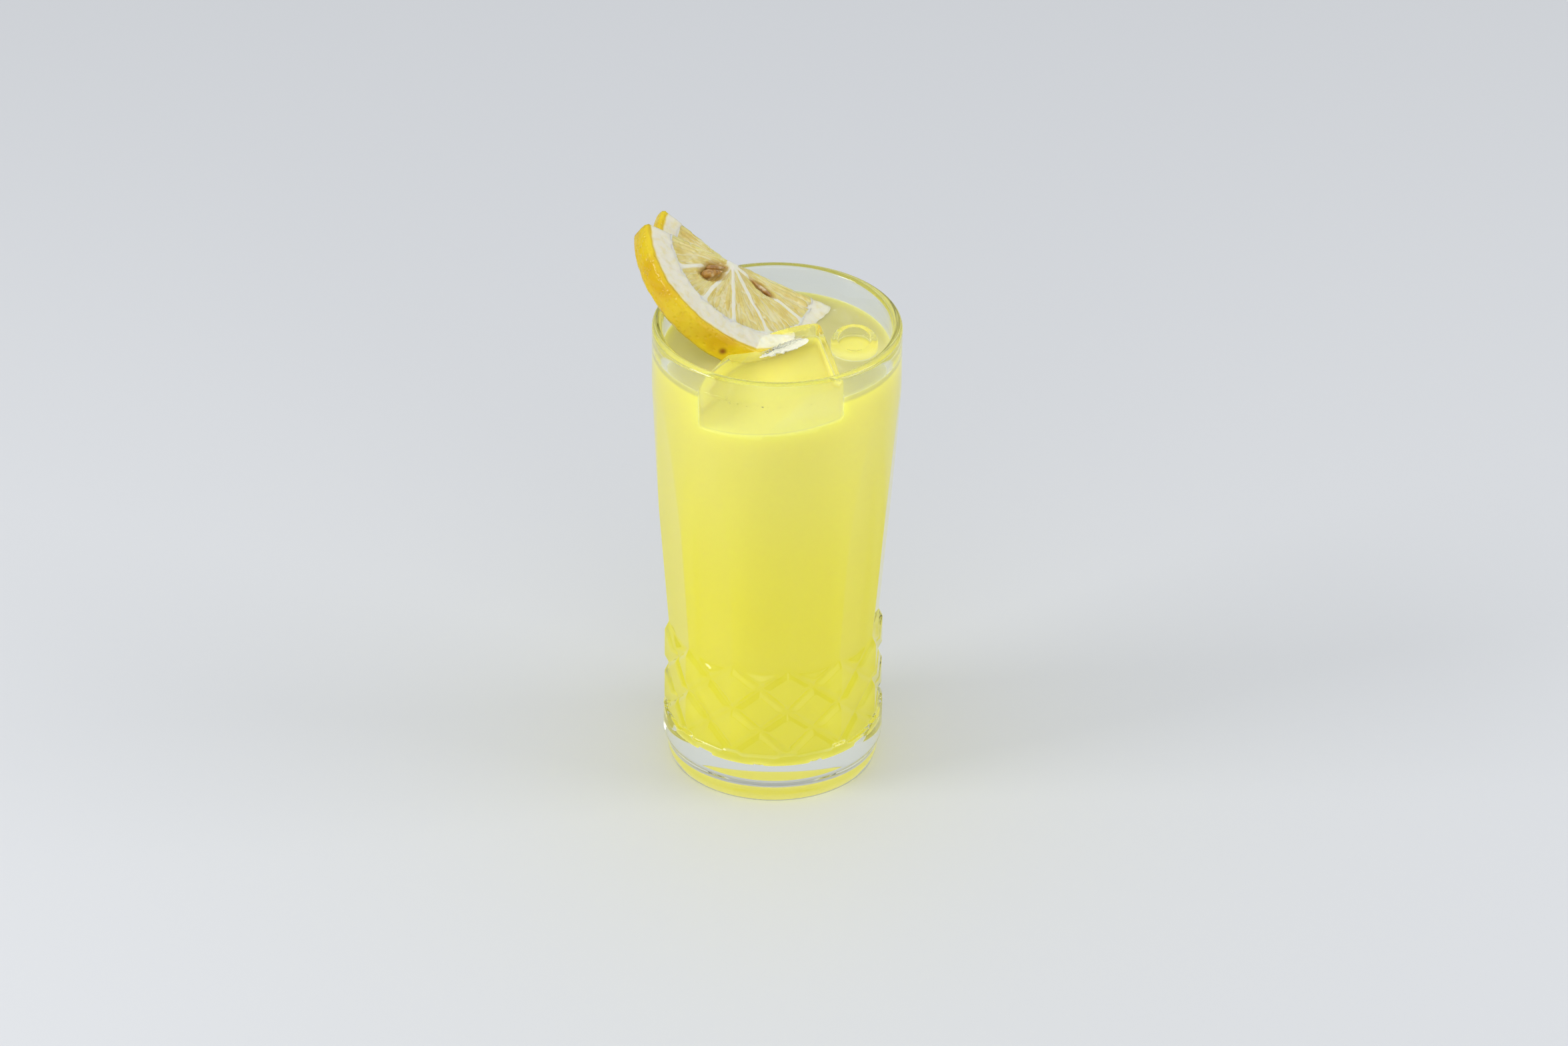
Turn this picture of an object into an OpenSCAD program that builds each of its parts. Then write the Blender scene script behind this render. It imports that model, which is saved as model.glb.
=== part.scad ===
// Tall cut glass of cloudy lemonade with two leaning lemon slices and ice.
// Millimetres, +Z up, origin at the middle of the flat underside.

/* [Glass] */
// Height of the glass
glass_h = 148.5; // [140:0.5:180]
// Outer radius at the rim
rim_r = 37; // [35:0.5:45]
// Wall thickness at the rim
rim_wall = 3; // [2.4:0.1:3.6]
// Thickness of the solid base
base_t = 10.4; // [9:0.1:16]
// How much smaller the inner radius is just above the base than the rim's outer radius
floor_inset = 8.8; // [8:0.1:11]
// Radius of the rounding inside, between floor and wall
floor_round = 6; // [3:0.5:8]
// How much smaller the radius of the flat underside is than the rim's
sole_inset = 6.6; // [6:0.1:9]
// Rounding of the foot's lower edge
foot_round = 1; // [1:0.5:3]

/* [Cut pattern] */
// Number of flat panels around the glass
panel_n = 12; // [10:1:12]
// Turn of the first ridge from the front
ridge_turn = 8; // [0:1:29]
// How much smaller the radius of the ridges in the diamond band is than the rim's
band_inset = 3.8; // [3:0.1:4.2]
// Height of the foot, up to the lowest row of stars
foot_h = 17.6; // [15:0.2:20]
// Height of one row of diamonds
row_h = 14.7; // [12:0.1:16]
// Number of diamond rows
row_n = 2; // [1:1:3]
// Width of a diagonal groove at the surface
groove_w = 4; // [2:0.5:5]
// Depth of a diagonal groove
groove_d = 1.2; // [0.6:0.1:1.4]
// How far the lower end of a panel dips between two ridges
panel_dip = 2.4; // [1:0.2:3]
// Depth of the ledge at the lower end of a panel
panel_step = 0.8; // [0.4:0.1:1]
// Height at which the panels fade out into the round rim
panel_top = 128; // [110:1:135]
// Height of the bevelled notch under each diamond column
notch_h = 3.4; // [2:0.2:5]
// Depth of the notch at its upper end
notch_d = 1.3; // [0.8:0.1:1.6]

/* [Drink] */
// Distance from the rim down to the surface of the drink
headspace = 9.2; // [6:0.2:16]

/* [Front lemon slice] */
// Radius of the lemon at the front cut
front_r = 33; // [27:0.5:34]
// Thickness of the slice at its straight edge
front_t = 7.8; // [6:0.2:9]
// Angle by which the slice gets thicker towards its rind
front_wedge = 2; // [0:0.5:5]
// Lean of the slice back from upright towards lying flat, about X
front_lean = 17.8; // [12:0.2:24]
// Slope of its long edge, down to the right
front_slope = 30.4; // [26:0.2:34]
// Turn of the slice about the upright
front_spin = 8.5; // [4:0.5:12]
// Distance of the low corner from the inside of the wall
front_gap = 2.8; // [1:0.1:8]
// Direction of the low corner, seen from above
front_angle = 55.7; // [40:0.1:70]
// How far the low corner dips below the drink's surface
front_sink = 0.8; // [0:0.1:3]

/* [Back lemon slice] */
// Radius of the lemon at the back slice
back_r = 26.4; // [22:0.2:28]
// Thickness of the back slice
back_t = 4.6; // [3:0.1:5]
// Lean of the back slice about X
back_lean = 13.2; // [10:0.2:20]
// Slope of its long edge, down to the right
back_slope = 37.6; // [32:0.2:40]
// Turn of the back slice about the upright
back_spin = -11.6; // [-16:0.2:-6]
// How far its core lies to the left of the front slice's core
back_left = 2.7; // [0:0.1:5]
// How far its core lies behind the front slice's core
back_behind = 10.8; // [10:0.1:12]
// How far its core lies below the front slice's core
back_below = 5.7; // [4.5:0.1:7]

/* [Ice] */
// Radius of the half-moon ice's round side
moon_r = 35; // [30:0.5:40]
// How far to the right of the axis the round side reaches furthest back
moon_top_x = 12; // [8:0.5:16]
// How far behind the axis it reaches there
moon_back = 2.6; // [0:0.2:4]
// Gap between its flat end and the bullet ice
moon_gap = 2.6; // [2:0.2:6]
// Slant of the flat end, seen from above
moon_end_turn = 12; // [0:1:20]
// Height of its flat end's upper edge over the drink
moon_rise = 7.9; // [3:0.1:8.5]
// Thickness of the half-moon ice at its flat end
moon_t = 13; // [6:0.5:16]
// Angle between its upper and lower side
moon_taper = 1; // [0:1:8]
// Slope of its upper side, rising to the flat end
moon_tilt = 7; // [4:1:14]
// Slope of its upper side, rising to the back
moon_pitch = 5; // [0:1:8]
// Radius of the bullet ice
bullet_r = 7; // [5:0.2:7.4]
// Length of the bullet ice
bullet_l = 17; // [12:0.5:24]
// Gap between the bullet ice and the wall
bullet_gap = 3.8; // [2:0.2:6]
// How far behind the axis the bullet ice floats
bullet_back = 0.5; // [-2:0.5:2]
// Lean of the bullet ice towards the front
bullet_lean = 12; // [0:1:16]
// Radius of the hollow in the bullet ice's end
bullet_bore_r = 4.8; // [3:0.2:6]
// Depth of that hollow
bullet_bore_d = 2; // [1:0.2:2.4]
// Height of the bullet ice's upper end over the drink
bullet_rise = 3.6; // [3:0.2:6]

/* [Hidden] */
waist_h = 5.6;     // height at which the foot starts to widen to the band
waist_rise = 2.6;  // height over which it does so
waist_lean = 0.4;  // how much the foot widens below that
$fn = 96;
clear = 0.2;       // gap between solid contents and the glass
over = 1;          // how far a cutting tool reaches past what it cuts
star_over = 0.6;   // how far a groove runs on past the star at each end
far = 60;          // size of a cutting tool that only needs to be large
panel_cut = 12;    // thickness of a panel cutter
star_turn = 360 / panel_n;
floor_r = rim_r - floor_inset;
sole_r = rim_r - sole_inset;
band_r = rim_r - band_inset;
panel_d = band_r * cos(star_turn / 2);         // distance of a flat from the axis
panel_w = 2 * band_r * sin(star_turn / 2);     // width of a flat in the band
band_top = foot_h + row_n * row_h;
level = glass_h - headspace;
inner_r = rim_r - rim_wall;
lip_r = rim_wall / 2;
// inside radius of the glass at height z, above the rounded floor
function bore_r(z) = floor_r + (inner_r - floor_r) * (z - base_t) / (glass_h - base_t);
// outside radius of the uncut glass at height z, above the diamond band
function body_r(z) = band_r + (rim_r - band_r) * min(1, (z - band_top) / (panel_top - band_top));
panel_foot = panel_d - panel_step;             // distance of a panel's lower end from the axis
panel_tilt = atan((body_r(panel_top) - panel_foot) / (panel_top - band_top));
dip_r = (pow(panel_w / 2, 2) + pow(panel_dip, 2)) / (2 * panel_dip);
front_tip_r = bore_r(level) - front_gap;
// the front slice's long edge, as a direction, and its middle, where the lemon's core was
front_edge = [cos(front_slope) * cos(front_spin), cos(front_slope) * sin(front_spin), -sin(front_slope)];
front_tip = [front_tip_r * cos(front_angle), front_tip_r * sin(front_angle), level - front_sink];
front_core = front_tip - front_r * front_edge;
back_core = front_core + [-back_left, back_behind, -back_below];
bullet_x = bore_r(level) - bullet_gap - bullet_r;
moon_end_x = bullet_x - bullet_r - moon_gap;

// ---- glass ----

// Outer outline without any cuts: foot, core of the band, flared upper body and round lip
module outer_profile() {
    polygon([
        [0, 0], [sole_r, 0], [sole_r + foot_round, foot_round],
        [sole_r + foot_round + waist_lean, waist_h], [band_r, waist_h + waist_rise], [band_r, foot_h],
        [panel_d - 2 * over, foot_h], [panel_d - 2 * over, band_top], [band_r, band_top],
        [rim_r, panel_top], [rim_r, glass_h - lip_r], [0, glass_h - lip_r]
    ]);
    translate([rim_r - lip_r, glass_h - lip_r]) circle(r = lip_r);
    translate([sole_r, foot_round]) circle(r = foot_round);
}

// Outline of the hollow, from its axis out, up to height top
module bore_profile(top) {
    corner_r = bore_r(base_t + floor_round) - floor_round;
    polygon([
        [0, base_t], [corner_r, base_t], [corner_r, base_t + floor_round],
        [bore_r(base_t + floor_round), base_t + floor_round], [bore_r(top), top], [0, top]
    ]);
    intersection() {
        translate([corner_r, base_t + floor_round]) circle(r = floor_round);
        translate([0, base_t]) square([far, floor_round]);
    }
}

// Solid of the hollow up to height top
module bore_solid(top) {
    rotate_extrude() intersection() {
        bore_profile(top);
        square([far, glass_h + over]);
    }
}

// Flat panel cutter: a tilted plane whose lower end is an arc
module panel_cutter() {
    translate([panel_foot, 0, band_top]) rotate([0, panel_tilt, 0]) rotate([90, 0, 90])
        linear_extrude(height = panel_cut) {
            translate([-panel_w / 2 - over, 0]) square([panel_w + 2 * over, glass_h - band_top + over]);
            intersection() {
                translate([0, dip_r - panel_dip]) circle(r = dip_r);
                translate([-panel_w / 2, -panel_dip]) square([panel_w, panel_dip + over]);
            }
        }
}

// One V groove across a flat, from one star up to the next, rising to the side that rise names
module groove_cutter(low, rise) {
    run = sqrt(pow(panel_w, 2) + pow(row_h, 2));
    translate([panel_d, -rise * panel_w / 2, low]) rotate([-rise * atan(panel_w / row_h), 0, 0])
        translate([0, 0, -star_over]) linear_extrude(height = run + 2 * star_over)
            polygon([[-groove_d, 0], [over, -groove_w / 2 - over * groove_w / groove_d / 2],
                     [over, groove_w / 2 + over * groove_w / groove_d / 2]]);
}

// Bevelled notch under a diamond column, deepest at its top
module notch_cutter() {
    notch_slope = atan(notch_d / notch_h);
    translate([band_r - notch_d, -panel_w / 2, foot_h]) rotate([0, -notch_slope, 0])
        translate([0, 0, -notch_h / cos(notch_slope)]) cube([notch_d + over, panel_w, notch_h / cos(notch_slope)]);
}

module glass() {
    color("gainsboro", 0.5) difference() {
        union() {
            rotate_extrude() intersection() {
                outer_profile();
                square([far, glass_h + over]);
            }
            rotate([0, 0, ridge_turn - 90]) translate([0, 0, foot_h])
                cylinder(r = band_r, h = band_top - foot_h, $fn = panel_n);
        }
        bore_solid(glass_h + over);
        for (i = [0 : panel_n - 1]) rotate([0, 0, ridge_turn - 90 + star_turn * (i + 0.5)]) {
            panel_cutter();
            notch_cutter();
            for (row = [0 : row_n - 1], rise = [-1, 1]) groove_cutter(foot_h + row * row_h, rise);
        }
    }
}

// ---- contents ----

// Room taken by the glass wall, with its clearance
module wall_room() {
    low = base_t + floor_round;
    rotate_extrude() polygon([
        [bore_r(low) - clear, low], [rim_r + far, low], [rim_r + far, glass_h - lip_r],
        [rim_r + clear, glass_h - lip_r], [rim_r - lip_r, glass_h + clear],
        [inner_r - clear, glass_h - lip_r]
    ]);
}

// Half slice of a lemon: front cut in the XY plane, straight edge along X, rind towards -Y
module half_slice(r, t, wedge) {
    belly = t / 2;
    difference() {
        translate([0, 0, -belly]) sphere(r = sqrt(r * r + belly * belly));
        translate([-far, -far, 0]) cube(2 * far);
        translate([-far, 0, -far]) cube(2 * far);
        translate([0, 0, -t]) rotate([-wedge, 0, 0]) translate([-far, -far, -2 * far]) cube(2 * far);
    }
}

// Front slice, its low corner at the drink's surface near the wall
module front_solid() {
    translate(front_core) rotate([front_lean, front_slope, front_spin]) half_slice(front_r, front_t, front_wedge);
}

// Back slice, behind the front one
module back_solid() {
    translate(back_core) rotate([back_lean, back_slope, back_spin]) half_slice(back_r, back_t, 0);
}

module lemon_slice_front() {
    color("gold") difference() {
        front_solid();
        wall_room();
    }
}

module lemon_slice_back() {
    color("khaki") difference() {
        back_solid();
        front_solid();
        wall_room();
    }
}

// Half-moon ice as it floats: round side to the back, flat end to the right, upper side sloping
module moon_solid() {
    intersection() {
        bore_inset();
        translate([moon_top_x, moon_back - moon_r, level - far]) cylinder(r = moon_r, h = 2 * far);
        translate([moon_end_x, 0, level]) rotate([0, 0, moon_end_turn])
            translate([-2 * far, -far, -far]) cube(2 * far);
        translate([moon_end_x, 0, level]) rotate([moon_pitch, -moon_tilt, 0])
            translate([-2 * far, -far, moon_rise - 2 * far]) cube([3 * far, 2 * far, 2 * far]);
        translate([moon_end_x, 0, level]) rotate([moon_pitch - moon_taper, -moon_tilt, 0])
            translate([-2 * far, -far, moon_rise - moon_t]) cube([3 * far, 2 * far, 2 * far]);
    }
}

// Space inside the glass, clear of its wall, around the surface of the drink
module bore_inset() {
    low = level - far / 2;
    rotate_extrude() polygon([
        [0, low], [bore_r(low) - clear, low], [bore_r(glass_h) - clear, glass_h], [0, glass_h]
    ]);
}

module ice_moon() {
    color("white", 0.5) difference() {
        moon_solid();
        front_solid();
    }
}

// Bullet ice: a cylinder with a round lower end and a hollow in its upper end
module bullet_solid() {
    translate([bullet_x, bullet_back, level + bullet_rise]) rotate([bullet_lean, 0, 0])
        rotate_extrude() intersection() {
            union() {
                translate([0, -bullet_l + bullet_r]) square([bullet_r, bullet_l - bullet_r]);
                translate([0, -bullet_l + bullet_r]) circle(r = bullet_r);
            }
            translate([0, -bullet_l]) square([bullet_r, bullet_l]);
        }
}

module ice_bullet() {
    color("azure", 0.5) difference() {
        bullet_solid();
        translate([bullet_x, bullet_back, level + bullet_rise]) rotate([bullet_lean, 0, 0])
            rotate_extrude() translate([0, -bullet_bore_d]) polygon([
                [0, 0], [bullet_bore_r - over, 0], [bullet_bore_r, bullet_bore_d + over],
                [0, bullet_bore_d + over]
            ]);
    }
}

// Drink up to its level, around everything that dips into it
module lemonade() {
    color("yellow", 0.8) difference() {
        bore_solid(level);
        lemon_slice_front();
        lemon_slice_back();
        ice_moon();
        ice_bullet();
    }
}

glass();
lemonade();
lemon_slice_front();
lemon_slice_back();
ice_moon();
ice_bullet();
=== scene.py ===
"""A tall cut glass of cloudy lemonade with lemon slices and ice, ready for a soft studio view.

Shapes are worked out in millimetres and scaled to metres as each piece is finished.
"""

import logging
import math
import random
from dataclasses import dataclass
from enum import Enum
from typing import Sequence

import bmesh
import bpy
import numpy as np
from mathutils import Matrix, Vector, noise

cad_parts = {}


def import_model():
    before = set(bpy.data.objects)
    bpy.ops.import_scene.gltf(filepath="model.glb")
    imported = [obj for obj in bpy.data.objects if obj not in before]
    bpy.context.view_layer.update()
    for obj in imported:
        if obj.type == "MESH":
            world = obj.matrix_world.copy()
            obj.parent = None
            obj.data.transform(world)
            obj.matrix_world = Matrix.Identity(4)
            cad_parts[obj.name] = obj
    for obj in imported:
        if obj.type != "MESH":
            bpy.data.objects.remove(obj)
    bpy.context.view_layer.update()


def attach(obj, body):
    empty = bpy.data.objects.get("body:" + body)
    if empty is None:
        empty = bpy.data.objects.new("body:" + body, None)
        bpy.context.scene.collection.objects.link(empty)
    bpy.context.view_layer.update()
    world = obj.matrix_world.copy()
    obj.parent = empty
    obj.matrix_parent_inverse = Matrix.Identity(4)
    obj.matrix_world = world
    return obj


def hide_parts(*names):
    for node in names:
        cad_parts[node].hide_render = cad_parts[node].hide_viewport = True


Mesh = bmesh.types.BMesh
Socket = bpy.types.NodeSocket
Outline = list[tuple[float, float]]

LOG = logging.getLogger("lemonade")
MM = 0.001
BODY = "root"
DRINK_LEVEL = 139.3

# How far a point of the glass and its neighbours count when its edges are softened: across, up, weight.
NEIGHBOURS = (
    (0, 0, 4),
    (1, 0, 2),
    (-1, 0, 2),
    (0, 1, 2),
    (0, -1, 2),
    (1, 1, 1),
    (-1, 1, 1),
    (1, -1, 1),
    (-1, -1, 1),
)


class Slot(Enum):
    """Material slots of the stored part."""

    GLASS = "clear_glass"
    DRINK = "lemonade"
    LEMON = "lemon"
    ICE = "ice"


def rgb(code: str) -> tuple[float, float, float, float]:
    """Turns a six digit colour code into linear light.

    Args:
        code: red, green and blue as hexadecimal digits.

    Returns:
        The colour with full alpha.
    """
    parts = [int(code[i : i + 2], 16) / 255 for i in (0, 2, 4)]
    linear = [c / 12.92 if c <= 0.04045 else ((c + 0.055) / 1.055) ** 2.4 for c in parts]
    return (linear[0], linear[1], linear[2], 1.0)


# ---------------------------------------------------------------- finishes


class Bench:
    """A workbench on which the nodes of one material, or of the world, are put together."""

    def __init__(self, owner: bpy.types.Material | bpy.types.World) -> None:
        """Empties the owner's nodes.

        Args:
            owner: the material or world.
        """
        self.owner = owner
        owner.use_nodes = True
        self.nodes = owner.node_tree.nodes
        self.links = owner.node_tree.links
        self.nodes.clear()

    def add(self, kind: str, inputs: dict | None = None, **settings: object) -> bpy.types.Node:
        """Adds a node.

        Args:
            kind: the node's type, without its ShaderNode prefix.
            inputs: values or sockets for the node's inputs, by name or number.
            **settings: the node's own properties.

        Returns:
            The new node.
        """
        node = self.nodes.new("ShaderNode" + kind)
        for key, value in settings.items():
            setattr(node, key, value)
        for key, value in (inputs or {}).items():
            if isinstance(value, Socket):
                self.links.new(value, node.inputs[key])
            else:
                node.inputs[key].default_value = value
        return node

    def mix(self, share: object, low: object, high: object) -> Socket:
        """Mixes two colours.

        Args:
            share: how much of the second colour, a number or a socket.
            low: the first colour.
            high: the second colour.

        Returns:
            The mixed colour's socket.
        """
        node = self.add("Mix", data_type="RGBA")
        for index, value in ((0, share), (6, low), (7, high)):
            if isinstance(value, Socket):
                self.links.new(value, node.inputs[index])
            else:
                node.inputs[index].default_value = value
        return node.outputs[2]

    def math(self, operation: str, first: object, second: object = 0.5) -> Socket:
        """Works out one sum.

        Args:
            operation: the Math node's operation.
            first: the first number or socket.
            second: the second number or socket.

        Returns:
            The result's socket.
        """
        return self.add("Math", {0: first, 1: second}, operation=operation).outputs[0]

    def ramp(self, factor: Socket, low: float, high: float) -> Socket:
        """Spreads a range of a value smoothly over 0 to 1.

        Args:
            factor: the value.
            low: where 0 is.
            high: where 1 is.

        Returns:
            The spread value's socket.
        """
        node = self.add("MapRange", {0: factor, 1: low, 2: high}, interpolation_type="SMOOTHSTEP")
        return node.outputs[0]

    def layer(self, name: str) -> Socket:
        """Reads a number that the mesh carries.

        Args:
            name: the attribute's name.

        Returns:
            The number's socket.
        """
        return self.add("Attribute", attribute_name=name).outputs["Fac"]

    def place(self) -> Socket:
        """Returns the place on the piece, in metres."""
        return self.add("TexCoord").outputs["Object"]

    def grain(self, where: Socket, scale: float, detail: float = 3.0) -> Socket:
        """Adds soft noise.

        Args:
            where: the coordinates.
            scale: cells for each metre.
            detail: octaves of finer noise.

        Returns:
            The noise value's socket.
        """
        return self.add("TexNoise", {"Vector": where, "Scale": scale, "Detail": detail}).outputs[0]

    def bump(self, height: Socket, strength: float, distance: float) -> Socket:
        """Turns a height into a normal.

        Args:
            height: the height value.
            strength: share of the effect.
            distance: depth in metres.

        Returns:
            The normal's socket.
        """
        return self.add("Bump", {"Strength": strength, "Distance": distance, "Height": height}).outputs[0]

    def close(self, shader: Socket) -> bpy.types.Material:
        """Ends the material with its shader.

        Args:
            shader: the surface shader's socket.

        Returns:
            The finished material.
        """
        self.add("OutputMaterial", {"Surface": shader})
        return self.owner

    def surface(self, inputs: dict) -> bpy.types.Material:
        """Ends the material with one layered surface.

        Args:
            inputs: values or sockets for the surface's inputs.

        Returns:
            The finished material.
        """
        return self.close(self.add("BsdfPrincipled", inputs).outputs[0])


@dataclass(frozen=True)
class ClearFinish:
    """Clear polished glass or wet ice, which lets light through to what stands behind it."""

    name: str
    tint: str = "FFFFFF"
    light: str = "F6FAF2"
    ior: float = 1.5
    roughness: float = 0.0
    ripple: float = 0.0
    ripple_scale: float = 90.0
    milk: float = 0.0

    def make(self) -> bpy.types.Material:
        """Returns the finished material."""
        bench = Bench(bpy.data.materials.new(self.name))
        wave = bench.grain(bench.place(), self.ripple_scale, 2.0)
        body = bench.add(
            "BsdfPrincipled",
            {
                "Base Color": rgb(self.tint),
                "Roughness": self.roughness,
                "IOR": self.ior,
                "Transmission Weight": 1.0 - self.milk,
                "Normal": bench.bump(wave, self.ripple, 0.001),
            },
        )
        path = bench.add("LightPath")
        open_air = bench.add("BsdfTransparent", {"Color": rgb(self.light)})
        mixed = bench.add("MixShader", {0: path.outputs["Is Shadow Ray"], 1: body.outputs[0]})
        bench.links.new(open_air.outputs[0], mixed.inputs[2])
        return bench.close(mixed.outputs[0])


@dataclass(frozen=True)
class CloudyDrink:
    """Cloudy yellow drink, paler near its surface, with a painted glow that is strongest in its lowest few
    millimetres, and painted shade on its top surface.
    """

    deep: str = "EBE23E"
    pale: str = "EBE378"
    # Painted glow: the drink's emission colour. It stands in for light that the cloudy drink gathers from
    # the lamps. It is full in the lowest millimetres and a smaller share above.
    glow: str = "E8E04C"
    painted_glow_strength: float = 0.45
    painted_glow_upper_share: float = 0.36
    painted_glow_full_below_m: float = 0.010
    painted_glow_fade_top_m: float = 0.0145
    # Painted shade: a duller, greyer yellow on the drink's top surface. It darkens the surface that faces
    # the light from above.
    top: str = "BEB87E"
    painted_shade_top_m: float = 0.1390
    painted_shade_fade_m: float = 0.0012
    cloud_share: float = 0.25
    cloud_shift: float = 0.12
    low_m: float = 0.060
    high_m: float = 0.132

    def make(self) -> bpy.types.Material:
        """Returns the finished material."""
        bench = Bench(bpy.data.materials.new("cloudy_lemonade"))
        where = bench.place()
        height = bench.add("SeparateXYZ", {0: where}).outputs[2]
        paler = bench.ramp(height, self.low_m, self.high_m)
        cloud = bench.grain(where, 45.0, 4.0)
        share = bench.math("MULTIPLY_ADD", cloud, self.cloud_share)
        bench.links.new(paler, share.node.inputs[2])
        share = bench.math("SUBTRACT", share, self.cloud_shift)
        colour = bench.mix(share, rgb(self.deep), rgb(self.pale))
        # Painted glow: emission that is full in the drink's lowest few millimetres and fades to a smaller
        # share higher up.
        bright = rgb(self.glow)
        painted_glow_upper = tuple(c * self.painted_glow_upper_share for c in bright[:3]) + (1.0,)
        light = bench.mix(bench.ramp(height, self.painted_glow_full_below_m, self.painted_glow_fade_top_m), bright, painted_glow_upper)
        # Painted shade on the top surface: it blends to the duller colour over the top 1.2 mm of the drink.
        painted_shade_share = bench.ramp(height, self.painted_shade_top_m - self.painted_shade_fade_m, self.painted_shade_top_m)
        colour = bench.mix(painted_shade_share, colour, rgb(self.top))
        return bench.surface(
            {
                "Base Color": colour,
                "Roughness": 0.06,
                "IOR": 1.33,
                "Subsurface Weight": 1.0,
                "Subsurface Radius": (1.0, 0.95, 0.35),
                "Subsurface Scale": 0.009,
                "Sheen Weight": 0.35,
                "Sheen Roughness": 0.4,
                "Emission Color": light,
                "Emission Strength": self.painted_glow_strength,
            }
        )


@dataclass(frozen=True)
class PeelFinish:
    """Lemon rind over white pith: the layer named peel is 1 in the rind."""

    rind: str = "F2D41E"
    rind_deep: str = "E4B60E"
    pith: str = "F3EDD6"
    pith_warm: str = "EEE2AE"
    pith_near_rind: str = "F2DC6A"
    spot: str = "9A5A10"

    def make(self) -> bpy.types.Material:
        """Returns the finished material."""
        bench = Bench(bpy.data.materials.new("lemon_peel"))
        where = bench.place()
        peel = bench.ramp(bench.layer("peel"), 0.35, 0.65)
        blotch = bench.ramp(bench.grain(where, 90.0, 4.0), 0.35, 0.75)
        skin = bench.mix(blotch, rgb(self.rind), rgb(self.rind_deep))
        freckle = bench.ramp(bench.grain(where, 620.0, 1.0), 0.79, 0.82)
        skin = bench.mix(freckle, skin, rgb(self.spot))
        skin = bench.mix(bench.ramp(bench.layer("mark"), 0.2, 0.9), skin, rgb(self.spot))
        fibre = bench.ramp(bench.grain(where, 520.0, 5.0), 0.45, 0.8)
        white = bench.mix(fibre, rgb(self.pith), rgb(self.pith_warm))
        near = bench.ramp(bench.layer("peel"), 0.0, 0.5)
        white = bench.mix(near, white, rgb(self.pith_near_rind))
        colour = bench.mix(peel, white, skin)
        pore = bench.add("TexVoronoi", {"Vector": where, "Scale": 620.0}).outputs["Distance"]
        dimple = bench.math("MULTIPLY", bench.ramp(pore, 0.05, 0.45), peel)
        rough = bench.math("MULTIPLY", bench.grain(where, 900.0, 4.0), 0.35)
        height = bench.math("ADD", dimple, rough)
        gloss = bench.add("MapRange", {0: peel, 1: 0.0, 2: 1.0, 3: 0.55, 4: 0.24}).outputs[0]
        return bench.surface(
            {
                "Base Color": colour,
                "Roughness": gloss,
                "IOR": 1.45,
                "Subsurface Weight": 0.35,
                "Subsurface Radius": (1.0, 0.8, 0.4),
                "Subsurface Scale": 0.003,
                "Normal": bench.bump(height, 0.5, 0.0004),
            }
        )


@dataclass(frozen=True)
class PulpFinish:
    """Juicy lemon pulp: the layer named tissue is 1 on a membrane, sac is 0 between two juice sacs."""

    juice: str = "EBDB90"
    juice_deep: str = "E0C86C"
    wall: str = "F2E8B4"
    tissue: str = "F6F1DA"
    cavity: str = "C9A24A"

    def make(self) -> bpy.types.Material:
        """Returns the finished material."""
        bench = Bench(bpy.data.materials.new("lemon_pulp"))
        where = bench.place()
        tone = bench.ramp(bench.grain(where, 260.0, 3.0), 0.35, 0.7)
        juice = bench.mix(tone, rgb(self.juice), rgb(self.juice_deep))
        sac = bench.ramp(bench.layer("sac"), 0.0, 0.35)
        flesh = bench.mix(sac, rgb(self.wall), juice)
        flesh = bench.mix(bench.layer("pit"), flesh, rgb(self.cavity))
        colour = bench.mix(bench.ramp(bench.layer("tissue"), 0.2, 0.7), flesh, rgb(self.tissue))
        fine = bench.grain(where, 1100.0, 3.0)
        return bench.surface(
            {
                "Base Color": colour,
                "Roughness": 0.17,
                "IOR": 1.36,
                "Subsurface Weight": 0.75,
                "Subsurface Radius": (1.0, 0.85, 0.35),
                "Subsurface Scale": 0.004,
                "Coat Weight": 0.35,
                "Coat Roughness": 0.06,
                "Normal": bench.bump(fine, 0.25, 0.0003),
            }
        )


@dataclass(frozen=True)
class SeedFinish:
    """Wet brown seed husk, streaked along its length."""

    husk: str = "D09C48"
    shade: str = "A06C26"
    pale: str = "EEDCB4"

    def make(self) -> bpy.types.Material:
        """Returns the finished material."""
        bench = Bench(bpy.data.materials.new("lemon_seed"))
        where = bench.place()
        streak = bench.ramp(bench.grain(where, 700.0, 4.0), 0.35, 0.65)
        brown = bench.mix(streak, rgb(self.husk), rgb(self.shade))
        colour = bench.mix(bench.ramp(bench.grain(where, 330.0, 2.0), 0.5, 0.75), brown, rgb(self.pale))
        return bench.surface(
            {"Base Color": colour, "Roughness": 0.28, "Coat Weight": 0.4, "Coat Roughness": 0.1}
        )


@dataclass(frozen=True)
class FloorFinish:
    """Plain pale floor."""

    tone: str = "E6E7E9"

    def make(self) -> bpy.types.Material:
        """Returns the finished material."""
        bench = Bench(bpy.data.materials.new("pale_floor"))
        return bench.surface({"Base Color": rgb(self.tone), "Roughness": 0.6})


# ---------------------------------------------------------------- mesh helpers


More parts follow.
